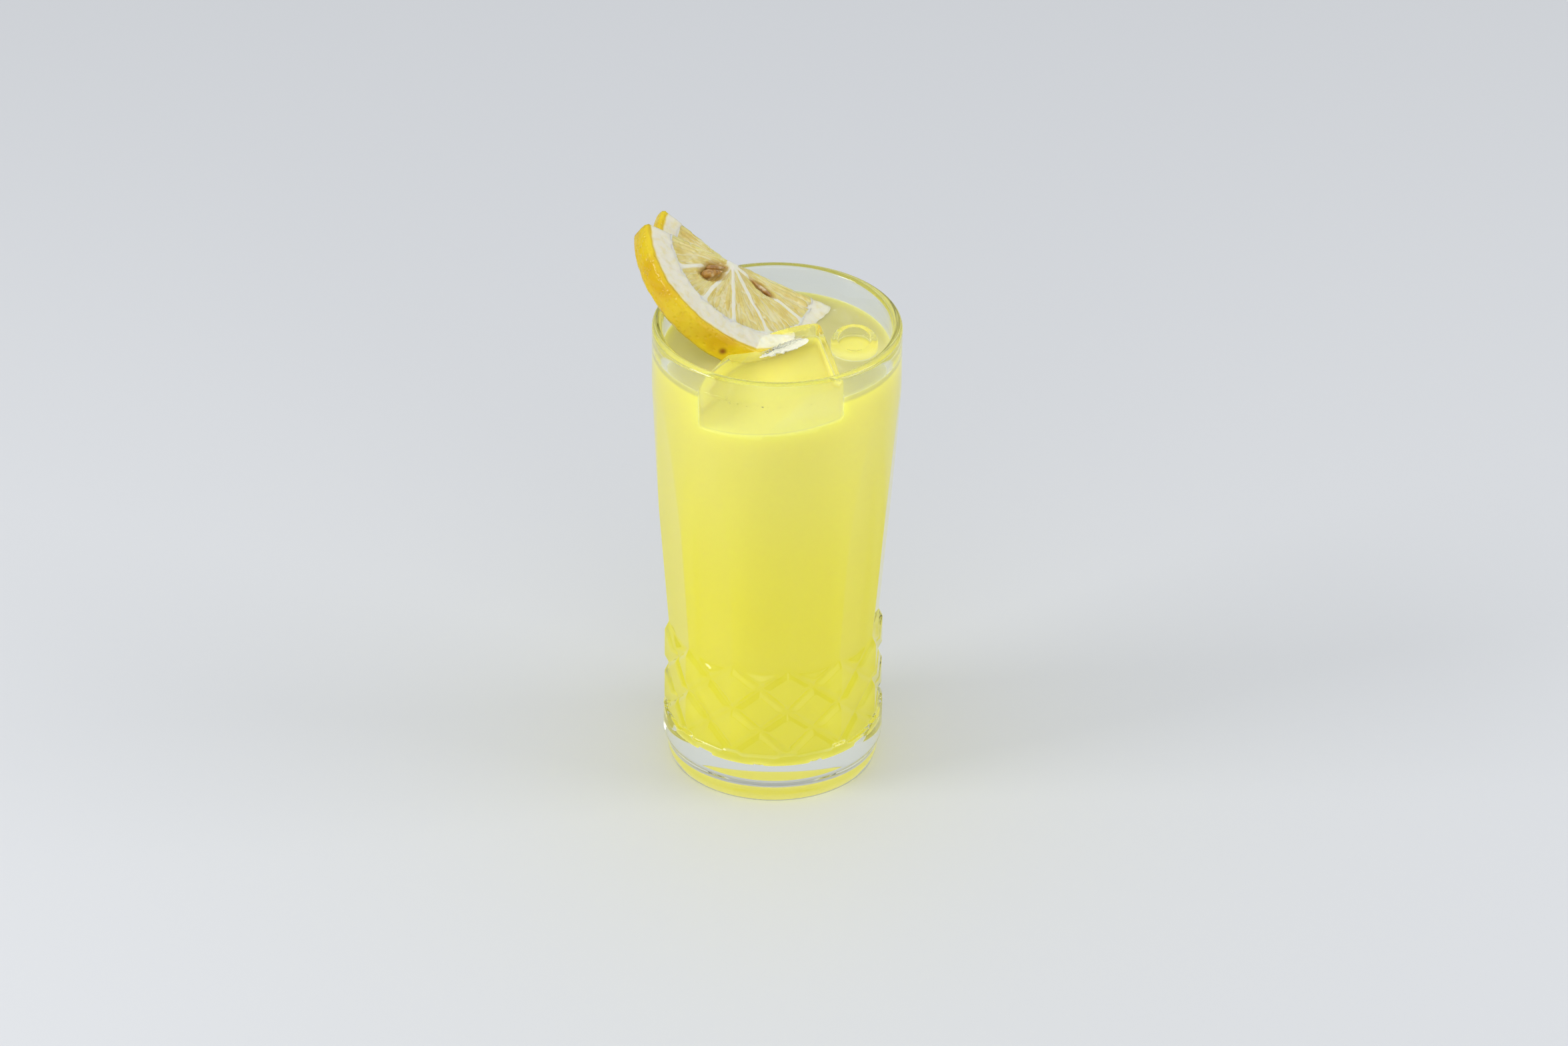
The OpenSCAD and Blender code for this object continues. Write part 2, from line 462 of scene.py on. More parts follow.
def spun(outline: Outline, steps: int, start: float, sweep: float) -> Mesh:
    """Spins an outline about the upright axis.

    Args:
        outline: (radius, height) pairs in millimetres, an open or closed line.
        steps: steps of the whole sweep.
        start: first angle in degrees.
        sweep: angle swept, in degrees.

    Returns:
        The spun mesh, not merged yet.
    """
    mesh = bmesh.new()
    a = math.radians(start)
    verts = [mesh.verts.new((r * math.cos(a), r * math.sin(a), z)) for r, z in outline]
    edges = [mesh.edges.new(pair) for pair in zip(verts, verts[1:])]
    bmesh.ops.spin(
        mesh,
        geom=verts + edges,
        cent=(0, 0, 0),
        axis=(0, 0, 1),
        dvec=(0, 0, 0),
        angle=math.radians(sweep),
        steps=steps,
        use_merge=abs(sweep) >= 360,
        use_normal_flip=False,
        use_duplicate=False,
    )
    return mesh


def tidy(mesh: Mesh, distance: float = 1e-4) -> Mesh:
    """Merges doubles and turns the faces outwards.

    Args:
        mesh: the mesh, changed in place.
        distance: how close two vertices are to be one, in millimetres.

    Returns:
        The same mesh.
    """
    bmesh.ops.remove_doubles(mesh, verts=mesh.verts, dist=distance)
    bmesh.ops.recalc_face_normals(mesh, faces=mesh.faces)
    return mesh


def half_spun(outline: Outline, steps: int) -> Mesh:
    """Spins an outline half round, on the -Y side, and closes both ends.

    Args:
        outline: (radius, height) pairs in millimetres.
        steps: steps of the half turn.

    Returns:
        The closed mesh.
    """
    mesh = tidy(spun(outline, steps, 180, 180))
    bmesh.ops.holes_fill(mesh, edges=[e for e in mesh.edges if e.is_boundary], sides=0)
    bmesh.ops.recalc_face_normals(mesh, faces=mesh.faces)
    return mesh


def arc(cx: float, cz: float, radius: float, first: float, last: float, count: int) -> Outline:
    """Returns points on an arc.

    Args:
        cx: centre's radius.
        cz: centre's height.
        radius: the arc's radius.
        first: first angle in degrees.
        last: last angle in degrees.
        count: number of points, both ends included.

    Returns:
        The (radius, height) pairs.
    """
    angles = [math.radians(first + (last - first) * i / (count - 1)) for i in range(count)]
    return [(cx + radius * math.cos(a), cz + radius * math.sin(a)) for a in angles]


def steps_between(low: float, high: float, count: int) -> list[float]:
    """Returns count values after low, up to and with high."""
    return [low + (high - low) * (i + 1) / count for i in range(count)]


def finished(mesh: Mesh, name: str, materials: Sequence[bpy.types.Material]) -> bpy.types.Object:
    """Makes a scene object from a mesh in millimetres.

    Args:
        mesh: the mesh, freed afterwards.
        name: the piece's name.
        materials: its materials, in slot order.

    Returns:
        The object, at the origin, smooth shaded.
    """
    bmesh.ops.scale(mesh, vec=(MM, MM, MM), verts=mesh.verts)
    data = bpy.data.meshes.new(name)
    mesh.to_mesh(data)
    mesh.free()
    data.shade_smooth()
    piece = bpy.data.objects.new(name, data)
    bpy.context.scene.collection.objects.link(piece)
    for material in materials:
        data.materials.append(material)
    return piece


def carve(piece: bpy.types.Object, tools: Sequence[bpy.types.Object]) -> None:
    """Cuts tools out of a piece and removes them.

    Args:
        piece: the object that is cut.
        tools: closed objects that cut it.
    """
    for tool in tools:
        cut = piece.modifiers.new("cut", "BOOLEAN")
        cut.operation = "DIFFERENCE"
        cut.solver = "EXACT"
        cut.object = tool
    settle(piece)
    for tool in tools:
        bpy.data.objects.remove(tool)


def settle(piece: bpy.types.Object) -> None:
    """Applies a piece's modifiers to its mesh."""
    graph = bpy.context.evaluated_depsgraph_get()
    data = bpy.data.meshes.new_from_object(piece.evaluated_get(graph))
    piece.modifiers.clear()
    piece.data = data


def deliver(piece: bpy.types.Object, slot: Slot, *nodes: str) -> None:
    """Attaches a piece to the body, hides the CAD nodes that it stands for and logs its triangles.

    Args:
        piece: the finished object.
        slot: the material slot it belongs to; not used.
        *nodes: CAD nodes that it stands for.
    """
    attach(piece, BODY)
    if nodes:
        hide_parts(*nodes)
    count = sum(len(p.vertices) - 2 for p in piece.data.polygons)
    LOG.info("%s: %d triangles", piece.name, count)


# ---------------------------------------------------------------- glass


@dataclass
class Tumbler:
    """The cut glass: flat panels over a band of diamonds, a notched foot and a round lip."""

    height: float = 148.5
    rim_r: float = 37.0
    rim_wall: float = 3.0
    base_t: float = 10.4
    floor_r: float = 28.2
    floor_round: float = 6.0
    sole_r: float = 30.4
    foot_round: float = 1.0
    waist_h: float = 5.6
    waist_rise: float = 2.6
    waist_lean: float = 0.4
    panels: int = 12
    ridge_turn: float = 8.0
    band_r: float = 33.2
    foot_h: float = 17.6
    row_h: float = 14.7
    rows: int = 2
    groove_half: float = 2.0
    groove_d: float = 1.2
    panel_dip: float = 2.4
    panel_step: float = 1.2
    ledge_slope: float = 0.8
    panel_top: float = 128.0
    notch_h: float = 3.4
    notch_d: float = 1.3
    notch_half: float = 6.2
    notch_spread: float = 0.45
    notch_flare: float = 0.9
    ledge_share: float = 0.7
    gentle_share: float = 0.3
    spare: float = 1.0
    level: float = DRINK_LEVEL
    columns: int = 36
    polish: float = 0.22

    @property
    def inner_r(self) -> float:
        """Inside radius at the rim."""
        return self.rim_r - self.rim_wall

    @property
    def blank_r(self) -> float:
        """Radius of the outer wall before it is cut."""
        return self.sole_r + self.foot_round + self.spare

    @property
    def half_turn(self) -> float:
        """Half the angle that one panel takes, in radians."""
        return math.pi / self.panels

    @property
    def flat_r(self) -> float:
        """Distance of a flat in the band from the axis."""
        return self.band_r * math.cos(self.half_turn)

    @property
    def band_top(self) -> float:
        """Height at which the diamond band ends."""
        return self.foot_h + self.rows * self.row_h

    def bore_r(self, z: float) -> float:
        """Inside radius at height z, above the rounded floor."""
        return self.floor_r + (self.inner_r - self.floor_r) * (z - self.base_t) / (self.height - self.base_t)

    def cut_radius(self, turn: np.ndarray, z: np.ndarray) -> np.ndarray:
        """Outside radius with every cut, on the straight part of the wall.

        Args:
            turn: angle from a panel's middle, in radians, any number of panels away.
            z: heights.

        Returns:
            The radii.
        """
        half = self.half_turn
        delta = (turn + half) % (2 * half) - half
        across = self.flat_r * np.tan(delta)
        u = delta / half
        half_w = self.flat_r * math.tan(half)
        body = self.band_r + (self.rim_r - self.band_r) * np.clip(
            (z - self.band_top) / (self.panel_top - self.band_top), 0, 1
        )
        waist = self.sole_r + self.foot_round + self.waist_lean
        rise = np.clip((z - self.waist_h) / self.waist_rise, 0, 1)
        body = np.where(z < self.foot_h, waist + (self.band_r - waist) * rise, body)
        v = ((z - self.foot_h) / self.row_h) % 1.0 * 2 - 1
        scale = half_w * self.row_h / 2 / math.hypot(half_w, self.row_h / 2)
        near = np.minimum(np.abs(u - v), np.abs(u + v)) * scale
        groove = self.groove_d * np.clip(1 - near / self.groove_half, 0, 1)
        band = self.flat_r - groove
        foot = self.flat_r - self.panel_step
        lean = (self.rim_r - foot) / (self.panel_top - self.band_top)
        plane = foot + (z - self.band_top) * lean
        dip_r = (half_w**2 + self.panel_dip**2) / (2 * self.panel_dip)
        aside = np.minimum(np.abs(across), half_w)
        edge = self.band_top - self.panel_dip + dip_r - np.sqrt(dip_r**2 - aside**2)
        ledge = plane + np.maximum(0, edge - z) * self.ledge_slope
        flat = np.where(z > edge, plane, np.minimum(band, ledge))
        flat = np.where(z > self.band_top, plane, flat)
        down = np.clip(self.foot_h - z, 0, None)
        side = np.maximum(0, np.abs(across) - self.notch_half + down * self.notch_spread)
        ledge_h = self.notch_d * self.ledge_share / self.ledge_slope
        below = np.clip(down - ledge_h, 0, None)
        gentle = below * self.notch_d * self.gentle_share / (self.notch_h - ledge_h)
        steep = np.minimum(down, ledge_h) * self.ledge_slope
        notch = self.band_r - self.notch_d + steep + gentle + side * self.notch_flare
        flat = np.where(z < self.foot_h, notch, flat)
        return np.minimum(body, flat / np.cos(delta))

    def soft_radius(self, turn: np.ndarray, z: np.ndarray) -> np.ndarray:
        """Outside radius with its edges softened, as by fire polishing.

        Args:
            turn: angle from a panel's middle, in radians.
            z: heights.

        Returns:
            The radii.
        """
        total = np.zeros_like(z)
        for across, up, weight in NEIGHBOURS:
            beside = turn + across * self.polish / self.band_r
            total += weight * self.cut_radius(beside, z + up * self.polish)
        return total / sum(weight for _, _, weight in NEIGHBOURS)

    def outline(self) -> Outline:
        """Returns the outline from the sole's middle over the lip to the floor's middle."""
        lip = self.rim_wall / 2
        points = [(r, 0.0) for r in (0.0, 10.0, 18.0, 24.0, 27.5)]
        points += arc(self.sole_r, self.foot_round, self.foot_round, -90, 0, 7)
        low = self.foot_round
        for high, count in (
            (self.waist_h, 4),
            (self.waist_h + self.waist_rise, 4),
            (self.foot_h - self.notch_h - 0.4, 6),
            (self.foot_h, 12),
            (self.band_top, self.rows * self.columns),
            (self.band_top + 2, 4),
            (self.panel_top, 26),
            (self.height - lip, 6),
        ):
            points += [(self.blank_r, z) for z in steps_between(low, high, count)]
            low = high
        points += arc(self.rim_r - lip, self.height - lip, lip, 15, 180, 12)
        inside = steps_between(self.height - lip, self.level, 6)
        inside += steps_between(self.level, self.base_t + self.floor_round, 26)
        points += [(self.bore_r(z), z) for z in inside]
        corner = self.bore_r(self.base_t + self.floor_round) - self.floor_round
        points += arc(corner, self.base_t + self.floor_round, self.floor_round, 0, -90, 9)[1:]
        points += [(corner * share, self.base_t) for share in (0.7, 0.35, 0.0)]
        return points

    def build(self, finish: ClearFinish) -> None:
        """Makes the glass.

        Args:
            finish: the clear finish.
        """
        mesh = spun(self.outline(), self.columns * self.panels, self.ridge_turn - 90, 360)
        tidy(mesh)
        low = self.foot_round + 0.01
        high = self.height - self.rim_wall / 2 + 0.01
        shown = [
            v
            for v in mesh.verts
            if low < v.co.z < high and abs(math.hypot(v.co.x, v.co.y) - self.blank_r) < 0.01
        ]
        where = np.array([v.co for v in shown])
        first_ridge = math.radians(self.ridge_turn - 90)
        turn = np.arctan2(where[:, 1], where[:, 0]) - first_ridge - self.half_turn
        radius = self.soft_radius(turn, where[:, 2])
        for vert, r, x, y in zip(shown, radius, where[:, 0], where[:, 1]):
            share = r / math.hypot(x, y)
            vert.co.x, vert.co.y = x * share, y * share
        self.crease(mesh, shown, turn, where[:, 2])
        deliver(finished(mesh, "cut_glass", [finish.make()]), Slot.GLASS, "glass")

    def crease(
        self,
        mesh: Mesh,
        verts: Sequence[bmesh.types.BMVert],
        turn: np.ndarray,
        z: np.ndarray,
    ) -> None:
        """Splits faces along the bottoms of the grooves.

        Args:
            mesh: the glass.
            verts: its outer vertices.
            turn: their angles from a panel's middle.
            z: their heights.
        """
        half = self.half_turn
        u = ((turn + half) % (2 * half) - half) / half
        v = ((z - self.foot_h) / self.row_h) % 1.0 * 2 - 1
        on_line = np.abs(np.abs(u) - np.abs(v)) < 0.2 / self.columns
        inside = (z > self.foot_h - 0.01) & (z < self.band_top - self.panel_dip)
        chosen = [vert for vert, yes in zip(verts, on_line & inside) if yes]
        bmesh.ops.connect_verts(mesh, verts=chosen)


# ---------------------------------------------------------------- ice


@dataclass
class MoonIce:
    """Half-moon ice: its round side to the back, its flat end to the right, its upper side sloping."""

    glass: Tumbler
    level: float = DRINK_LEVEL
    back_r: float = 35.0
    top_x: float = 12.0
    back: float = 2.6
    end_x: float = 13.2
    end_turn: float = 12.0
    rise: float = 7.9
    thick: float = 13.0
    taper: float = 1.0
    tilt: float = 7.0
    pitch: float = 5.0
    into_wall: float = 0.05
    corner: float = 26.0
    edge_round: float = 1.1
    rays: int = 180
    seat_y: float = -16.0
    cap_share: float = -0.6
    pocket_ends: tuple[tuple[float, float, float], ...] = ((-5.4, -10.4, 142.9), (8.9, -3.4, 145.3))

    def outline(self, grow: float, wall_grow: float) -> Outline:
        """Returns the ice's outline seen from above, counter-clockwise, with soft corners.

        Args:
            grow: how far the back and the flat end are moved outwards, in millimetres.
            wall_grow: the same for the side that follows the glass.

        Returns:
            The outline's points, one for each ray from inside the ice.
        """
        wall = self.glass.bore_r(self.level) + self.into_wall + wall_grow
        middle = Vector((self.top_x, self.back - self.back_r))
        normal = Vector((math.cos(math.radians(self.end_turn)), math.sin(math.radians(self.end_turn))))
        seat = Vector((0.0, self.seat_y))
        to_end = (Vector((self.end_x, 0.0)) - seat).dot(normal) + grow
        edge: Outline = []
        for i in range(self.rays):
            turn = 2 * math.pi * i / self.rays
            away = Vector((math.cos(turn), math.sin(turn)))
            reaches = [self.ray_circle(seat, away, Vector((0, 0)), wall)]
            reaches.append(self.ray_circle(seat, away, middle, self.back_r + grow))
            facing = away.dot(normal)
            if facing > 0.05:
                reaches.append(to_end / facing)
            reach = sum((1 / r) ** self.corner for r in reaches) ** (-1 / self.corner)
            point = seat + away * reach
            edge.append((point.x, point.y))
        return edge

    @staticmethod
    def ray_circle(seat: Vector, away: Vector, middle: Vector, radius: float) -> float:
        """Returns how far a ray from inside a circle goes to reach it.

        Args:
            seat: where the ray starts.
            away: its direction.
            middle: the circle's middle.
            radius: the circle's radius.

        Returns:
            The distance.
        """
        offset = seat - middle
        b = offset.dot(away)
        return -b + math.sqrt(max(0.0, b * b - offset.length_squared + radius * radius))

    def shape(self, grow: float, wall_grow: float) -> Mesh:
        """Makes the ice's mesh.

        Args:
            grow: how far its sides are moved outwards, in millimetres.
            wall_grow: the same for the side that follows the glass.

        Returns:
            The closed mesh.
        """
        hinge = Vector((self.end_x, 0, self.level))
        sloped = Matrix.Rotation(math.radians(-self.tilt), 3, "Y")
        upper = sloped @ Matrix.Rotation(math.radians(self.pitch), 3, "X") @ Vector((0, 0, 1))
        lower = sloped @ Matrix.Rotation(math.radians(self.pitch - self.taper), 3, "X") @ Vector((0, 0, 1))
        rounds = [math.radians(a) for a in (0, 15, 30, 45, 60, 75, 90)]
        bottom, top = self.rise - self.thick - grow, self.rise + grow
        rings = [(lower, bottom, 1 - math.sin(a), math.cos(a)) for a in reversed(rounds)]
        rings += [(upper, top, math.sin(a) - 1, math.cos(a)) for a in rounds]
        rings.insert(0, (lower, bottom, 0.0, self.cap_share))
        rings.append((upper, top, 0.0, self.cap_share))
        mesh = bmesh.new()
        made = []
        for normal, offset, lift, wide in rings:
            inset = self.edge_round * (1 - wide)
            plane = offset + self.edge_round * lift
            ring = []
            for x, y in self.outline(grow - inset, wall_grow - inset):
                z = hinge.z + (plane - normal.x * (x - hinge.x) - normal.y * (y - hinge.y)) / normal.z
                lean = self.glass.bore_r(z) / self.glass.bore_r(self.level)
                share = 1 + (lean - 1) * min(1.0, max(0.0, (-y - 8) / 10))
                ring.append(mesh.verts.new((x * share, y * share, z)))
            made.append(ring)
        for low, high in zip(made, made[1:]):
            for i in range(self.rays):
                j = (i + 1) % self.rays
                mesh.faces.new((low[i], low[j], high[j], high[i]))
        mesh.faces.new(list(reversed(made[0])))
        mesh.faces.new(made[-1])
        return mesh

    def flaw(
        self, name: str, finish: ClearFinish, half: tuple[float, float], shift: float, drop: float
    ) -> None:
        """Makes a thin jagged flaw, frozen in along the ice's back.

        Its faces point inwards, so it bends light by the inverse of its finish's ior.

        Args:
            name: the piece's name.
            finish: the flaw's finish.
            half: half its width and half its height.
            shift: how far it lies in front of the line between pocket_ends.
            drop: how far it lies below that line.
        """
        first, last = (Vector(end) for end in self.pocket_ends)
        along = last - first
        side = Vector((along.y, -along.x, 0)).normalized()
        mesh = bmesh.new()
        made = bmesh.ops.create_icosphere(mesh, subdivisions=5, radius=1.0)["verts"]
        for vert in made:
            t = vert.co.x
            coarse = noise.noise(Vector((t * 9, vert.co.y * 2, drop)))
            fine = noise.noise(Vector((t * 23, vert.co.y * 5, 4)))
            ragged = coarse + 0.6 * fine
            wide = (half[0] + half[0] / 2 * t) * (1 + 0.9 * ragged * max(0.0, 0.8 - t))
            place = (first + last) / 2 + along * (t / 2) + side * (vert.co.y * wide + shift)
            place.z += vert.co.z * half[1] + 0.2 * ragged - drop
            vert.co = place
        deliver(finished(mesh, name, [finish.make()]), Slot.ICE)

    def build(self, finish: ClearFinish, slice_room: Mesh) -> None:
        """Makes the ice.

        Args:
            finish: the clear finish.
            slice_room: the room that a slice of lemon takes in the ice.
        """
        piece = finished(self.shape(0.0, 0.0), "moon_ice", [finish.make()])
        carve(piece, [finished(slice_room, "slice_room", [])])
        piece.data.shade_smooth()
        piece.data.set_sharp_from_angle(angle=0.6)
        deliver(piece, Slot.ICE, "ice_moon")


@dataclass
class BulletIce:
    """Bullet ice: a cylinder with a round lower end and a hollow in its upper end."""

    radius: float = 7.0
    length: float = 17.0
    x: float = 22.8
    y: float = 0.5
    lean: float = 12.0
    bore_r: float = 4.8
    bore_d: float = 2.0
    rise: float = 3.6
    sunk: float = 1.6
    level: float = DRINK_LEVEL

    def shape(self) -> Mesh:
        """Makes the ice's mesh."""
        r = self.radius
        bend = self.radius - self.length
        points = arc(0, bend, r, -90, 0, 14)
        points += [(r, z) for z in steps_between(bend, -0.9, 8)]
        points += arc(r - 0.9, -0.9, 0.9, 0, 90, 6)[1:]
        points += arc(self.bore_r + 0.6, -0.6, 0.6, 90, 180, 5)
        points += arc(self.bore_r - 1.2, -self.bore_d + 1.2, 1.2, 0, -90, 6)
        points += [(self.bore_r / 3, -self.bore_d - 0.1), (0.0, -self.bore_d - 0.15)]
        points[0] = (0.0, bend - r)
        mesh = tidy(spun(points, 72, 0, 360))
        leant = Matrix.Rotation(math.radians(self.lean), 3, "X")
        bmesh.ops.rotate(mesh, cent=(0, 0, 0), matrix=leant, verts=mesh.verts)
        bmesh.ops.translate(mesh, vec=(self.x, self.y, self.level + self.rise), verts=mesh.verts)
        return mesh

    def dimple(self) -> Mesh:
        """Makes the shallow room that the ice takes in the cloudy drink."""
        r = self.radius - 0.15
        points = [(0.0, -self.sunk), (r - 1.5, -self.sunk), (r, 0.6 - self.sunk), (r, 6.0), (0.0, 6.0)]
        mesh = tidy(spun(points, 64, 0, 360))
        bmesh.ops.translate(mesh, vec=(self.x, self.y, self.level), verts=mesh.verts)
        return mesh

    def build(self, finish: ClearFinish) -> None:
        """Makes the ice.

        Args:
            finish: the clear finish.
        """
        deliver(finished(self.shape(), "bullet_ice", [finish.make()]), Slot.ICE, "ice_bullet")


# ---------------------------------------------------------------- lemon


@dataclass(frozen=True)
class Seed:
    """A seed in a slice: its place, length, width and direction on the cut face."""

    x: float
    y: float
    length: float
    width: float
    turn: float
    sunk: float = 0.3


@dataclass
class LemonSlice:
    """Half a slice of lemon: cut face in its own XY plane, straight edge along X, rind towards -Y."""

    name: str
    node: str
    radius: float
    pulp_r: float
    thick: float
    wedge: float
    tip_at: tuple[float, float, float]
    turn: tuple[float, float, float]
    membranes: tuple[float, ...]
    tip_reach: float = 0.0
    heart: tuple[float, float] = (0.0, 0.0)
    seeds: tuple[Seed, ...] = ()
    marks: tuple[tuple[float, float, float], ...] = ()
    seed: int = 3
    steps: int = 220
    rings: int = 96

    @property
    def placing(self) -> Matrix:
        """The slice's place in the glass."""
        lean, slope, spin = (math.radians(v) for v in self.turn)
        turned = Matrix.Rotation(spin, 4, "Z") @ Matrix.Rotation(slope, 4, "Y")
        turned = turned @ Matrix.Rotation(lean, 4, "X")
        core = Vector(self.tip_at) - turned @ Vector((self.tip_reach, 0, 0))
        return Matrix.Translation(core) @ turned

    def lumps(self, x: float, y: float, z: float, size: float) -> float:
        """Returns smooth unevenness between -1 and 1 at a place."""
        return noise.noise(Vector((x / size + self.seed * 7.3, y / size, z / size)))

    def thicken(self, mesh: Mesh) -> None:
        """Makes the slice thicker towards its rind."""
        slope = math.tan(math.radians(self.wedge)) / self.thick
        for vert in mesh.verts:
            if vert.co.z < 0:
                vert.co.z *= 1 + slope * max(0.0, -vert.co.y)

    def peel(self) -> Mesh:
        """Makes the ring of rind and pith.

        Returns:
            The mesh, with its peel and mark layers filled.
        """
        belly = self.thick / 2
        ball = math.hypot(self.radius, belly)
        half = math.degrees(math.asin(belly / ball)) - 2.0
        inner = self.pulp_r - 3.0
        points = [(inner, -1.6), (self.pulp_r - 1.6, -0.4)]
        points += [(r, 0.0) for r in steps_between(self.pulp_r - 0.7, self.radius - 0.5, 26)]
        points += arc(0, -belly, ball, half, -half, 22)
        points += [(r, -self.thick) for r in steps_between(self.radius - 0.5, self.pulp_r - 0.7, 26)]
        points += [(self.pulp_r - 1.6, -self.thick + 0.4), (inner, -self.thick + 1.6), (inner, -1.6)]
        mesh = half_spun(points, self.steps)
        peel = mesh.verts.layers.float.new("peel")
        mark = mesh.verts.layers.float.new("mark")
        for vert in mesh.verts:
            x, y, z = vert.co
            r = math.hypot(x, y)
            depth = ball - math.hypot(r, z + belly) + 0.35 * self.lumps(x, y, z, 3.0)
            vert[peel] = max(0.0, min(1.0, 1.45 - depth / 1.5))
            for mx, my, size in self.marks:
                gap = math.hypot(x - mx, y - my, z + belly)
                vert[mark] = max(vert[mark], 1 - gap / size)
            swell = 0.45 * self.lumps(x, y, z, 9.0) + 0.12 * self.lumps(x, y, z, 1.6)
            if r > self.radius - 0.8:
                vert.co.x *= 1 + swell / r
                vert.co.y *= 1 + swell / r
            elif r > self.pulp_r - 1.0:
                uneven = 0.22 * self.lumps(x, y, 0, 2.2) + 0.3 * self.lumps(x, y, 0, 7.0)
                vert.co.z += uneven * (1 if z > -belly else -1)
        self.thicken(mesh)
        return mesh

    def pulp(self) -> Mesh:
        """Makes the segments with their juice sacs and membranes.

        Returns:
            The mesh, with its tissue, sac and pit layers filled.
        """
        reach = self.pulp_r + 0.9
        radii = steps_between(0.0, reach, self.rings)
        points = [(0.0, 0.0)] + [(r, 0.0) for r in radii]
        points += [(reach, -self.thick * share) for share in (0.35, 0.65)]
        points += [(r, -self.thick) for r in reversed(radii)] + [(0.0, -self.thick)]
        mesh = half_spun(points, self.steps)
        layers = {key: mesh.verts.layers.float.new(key) for key in ("tissue", "sac", "pit")}
        borders = (180.0,) + self.membranes + (360.0,)
        for vert in mesh.verts:
            x, y, z = vert.co
            if -self.thick + 0.01 < z < -0.01:
                vert[layers["sac"]] = 1.0
                continue
            self.relief(vert, layers, borders, 1 if z > -0.01 else -1)
        self.thicken(mesh)
        return mesh

    def relief(self, vert: bmesh.types.BMVert, layers: dict, borders: Sequence[float], side: int) -> None:
        """Raises or lowers one point of the cut face.

        Args:
            vert: the vertex.
            layers: the mesh layers to fill.
            borders: angles of the membranes and both ends, in degrees.
            side: 1 on the front, -1 on the back.
        """
        x, y, _ = vert.co
        rim = math.hypot(x, y)
        hx, hy = x - self.heart[0], y - self.heart[1]
        r = math.hypot(hx, hy)
        angle = (math.degrees(math.atan2(hy, hx)) + 90) % 360 - 90
        angle = angle + 360 if angle < 90 else angle
        wave = 1.6 * self.lumps(r, angle / 9, 0.5, 5.0)
        from_wall = min(abs(math.radians(angle + wave - b)) * r for b in borders[1:-1])
        index = sum(1 for b in borders[1:-1] if angle + wave > b)
        skin = self.pulp_r + 0.8 * self.lumps(x, y, side, 6.0)
        from_skin = skin - rim
        corner = from_skin
        if from_skin > 0:
            corner = from_wall * from_skin / max(0.2, from_wall + from_skin)
        inside = min(from_wall - 0.3, corner * 1.3 - 0.35, r - 1.7)
        share = max(0.0, min(1.0, inside / 0.55))
        outward = r / 11.0 + 0.2 * self.lumps(x, y, 3, 2.0)
        away = noise.voronoi(Vector((outward, angle / 4.2, index * 5.1 + side)))[0]
        sac = max(0.0, min(1.0, (away[1] - away[0]) * 2.4))
        lift = 0.18 * self.lumps(x, y, 9, 5.0)
        height = lift + share * (-0.35 + 0.42 * math.sqrt(sac) + 0.22 * self.lumps(x, y, 4, 1.8))
        if from_skin < 0:
            height -= min(0.45, -from_skin * 0.9)
        pit = 0.0
        for seed in self.seeds if side > 0 else ():
            a = math.radians(seed.turn)
            along = (x - seed.x) * math.cos(a) + (y - seed.y) * math.sin(a)
            across = -(x - seed.x) * math.sin(a) + (y - seed.y) * math.cos(a)
            gap = math.hypot(along / (seed.length * 0.62), across / (seed.width * 0.85))
            pit = max(pit, max(0.0, 1.25 - gap))
        height -= min(1.6, pit * 2.6)
        vert[layers["tissue"]] = max(0.0, 1 - share) * (1 - min(1.0, pit * 2))
        vert[layers["sac"]] = sac
        vert[layers["pit"]] = min(1.0, pit * 1.4)
        vert.co.z += height * side

    def kernels(self) -> Mesh:
        """Makes the seeds.

        Returns:
            The mesh with every seed of the slice.
        """
        mesh = bmesh.new()
        for seed in self.seeds:
            made = bmesh.ops.create_uvsphere(mesh, u_segments=20, v_segments=14, radius=1.0)["verts"]
            for vert in made:
                along = vert.co.z
                taper = 0.62 - 0.38 * along
                ridge = 1 + 0.07 * math.sin(4 * math.atan2(vert.co.y, vert.co.x))
                vert.co.x *= taper * ridge * seed.width / 2
                vert.co.y *= taper * ridge * seed.width / 2
                vert.co.z = along * seed.length / 2
            flat = Matrix.Rotation(math.radians(90), 4, "Y")
            laid = Matrix.Rotation(math.radians(seed.turn), 4, "Z") @ flat
            spot = Matrix.Translation((seed.x, seed.y, -seed.sunk))
            bmesh.ops.transform(mesh, matrix=spot @ laid, verts=made)
        return mesh

    def plug(self, shrink: float) -> Mesh:
        """Makes the slice's plain form, with which room is cut for it.

        Args:
            shrink: how much smaller it is all round, in millimetres.

        Returns:
            The closed mesh, in its place.
        """
        r = self.radius - shrink
        front, back = -shrink, shrink - self.thick
        points = [(0.0, front), (r, front), (r + 0.2, -self.thick / 2), (r, back), (0.0, back)]
        mesh = half_spun(points, 64)
        self.thicken(mesh)
        return self.placed(tidy(mesh))

    def placed(self, mesh: Mesh) -> Mesh:
        """Moves a mesh from the slice's own plane to its place in the glass."""
        bmesh.ops.transform(mesh, matrix=self.placing, verts=mesh.verts)
        return mesh

    def build(self, peel: PeelFinish, pulp: PulpFinish, husk: SeedFinish) -> None:
        """Makes the slice's pieces.

        Args:
            peel: finish of rind and pith.
            pulp: finish of the segments.
            husk: finish of the seeds.
        """
        rind = finished(self.placed(self.peel()), self.name + "_peel", [peel.make()])
        deliver(rind, Slot.LEMON, self.node)
        flesh = finished(self.placed(self.pulp()), self.name + "_pulp", [pulp.make()])
        deliver(flesh, Slot.LEMON)
        if self.seeds:
            seeds = finished(self.placed(self.kernels()), self.name + "_seeds", [husk.make()])
            deliver(seeds, Slot.LEMON)


# ---------------------------------------------------------------- drink


